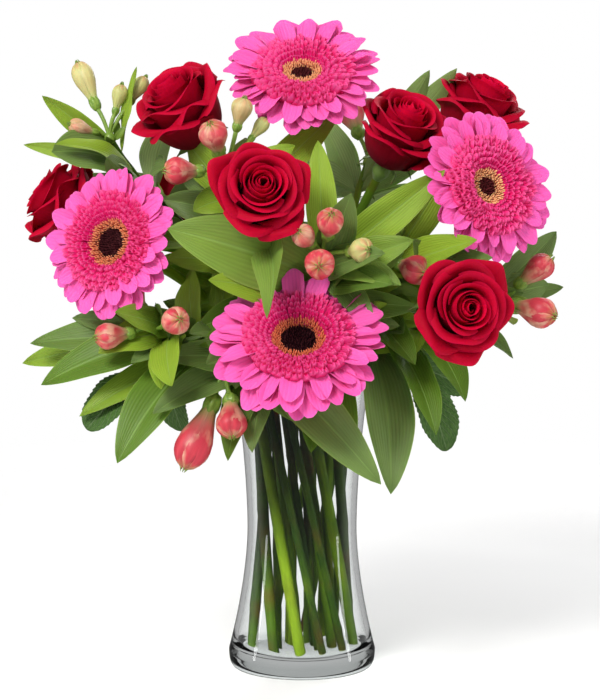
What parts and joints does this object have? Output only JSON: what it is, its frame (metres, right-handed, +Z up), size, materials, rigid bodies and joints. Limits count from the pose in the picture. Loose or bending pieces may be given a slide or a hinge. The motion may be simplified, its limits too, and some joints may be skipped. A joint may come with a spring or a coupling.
{
  "type": "mixed flower bouquet with gerberas in a glass vase",
  "caption": "Mixed bouquet of pink gerberas, red roses and alstroemeria buds with foliage, standing in a clear flared glass vase.",
  "frame": {"origin": "centre of the vase's flat underside", "axes": "+Z up, -Y towards the front of the bouquet, +X to the right seen from the front"},
  "size_m": [0.3206, 0.2584, 0.3781],
  "materials": {
    "glass": "polished",
    "gerbera_stem": "satin",
    "gerbera_petal": "matte",
    "gerbera_disc": "matte",
    "rose_stem": "satin",
    "rose_calyx": "matte",
    "rose_petal": "matte",
    "alstroemeria_stem": "satin",
    "leaf": "satin",
    "bud": "satin",
    "rose_leaf": "matte"
  },
  "bodies": {
    "root": {"vase": "glass", "gerbera_top_stem": "gerbera_stem", "gerbera_top_petals": "gerbera_petal", "gerbera_top_disc": "gerbera_disc", "gerbera_left_stem": "gerbera_stem", "gerbera_left_petals": "gerbera_petal", "gerbera_left_disc": "gerbera_disc", "gerbera_right_stem": "gerbera_stem", "gerbera_right_petals": "gerbera_petal", "gerbera_right_disc": "gerbera_disc", "gerbera_front_stem": "gerbera_stem", "gerbera_front_petals": "gerbera_petal", "gerbera_front_disc": "gerbera_disc", "rose_upper_left_stem": "rose_stem", "rose_upper_left_calyx": "rose_calyx", "rose_upper_left_bloom": "rose_petal", "rose_centre_stem": "rose_stem", "rose_centre_calyx": "rose_calyx", "rose_centre_bloom": "rose_petal", "rose_upper_middle_stem": "rose_stem", "rose_upper_middle_calyx": "rose_calyx", "rose_upper_middle_bloom": "rose_petal", "rose_upper_right_stem": "rose_stem", "rose_upper_right_calyx": "rose_calyx", "rose_upper_right_bloom": "rose_petal", "rose_right_stem": "rose_stem", "rose_right_calyx": "rose_calyx", "rose_right_bloom": "rose_petal", "rose_far_left_stem": "rose_stem", "rose_far_left_calyx": "rose_calyx", "rose_far_left_bloom": "rose_petal", "rose_back_stem": "rose_stem", "rose_back_calyx": "rose_calyx", "rose_back_bloom": "rose_petal", "alstroemeria_upper_left_stem": "alstroemeria_stem", "alstroemeria_upper_left_leaves": "leaf", "alstroemeria_upper_left_umbel": "bud", "alstroemeria_upper_stem": "alstroemeria_stem", "alstroemeria_upper_leaves": "leaf", "alstroemeria_upper_umbel": "bud", "alstroemeria_centre_stem": "alstroemeria_stem", "alstroemeria_centre_leaves": "leaf", "alstroemeria_centre_umbel": "bud", "alstroemeria_right_centre_stem": "alstroemeria_stem", "alstroemeria_right_centre_leaves": "leaf", "alstroemeria_right_centre_umbel": "bud", "alstroemeria_right_stem": "alstroemeria_stem", "alstroemeria_right_leaves": "leaf", "alstroemeria_right_umbel": "bud", "alstroemeria_left_stem": "alstroemeria_stem", "alstroemeria_left_leaves": "leaf", "alstroemeria_left_umbel": "bud", "alstroemeria_lower_stem": "alstroemeria_stem", "alstroemeria_lower_leaves": "leaf", "alstroemeria_lower_umbel": "bud", "alstroemeria_back_stem": "alstroemeria_stem", "alstroemeria_back_leaves": "leaf", "alstroemeria_back_umbel": "bud", "rose_leaf_left": "rose_leaf", "rose_leaf_right": "rose_leaf"}
  },
  "joints": []
}
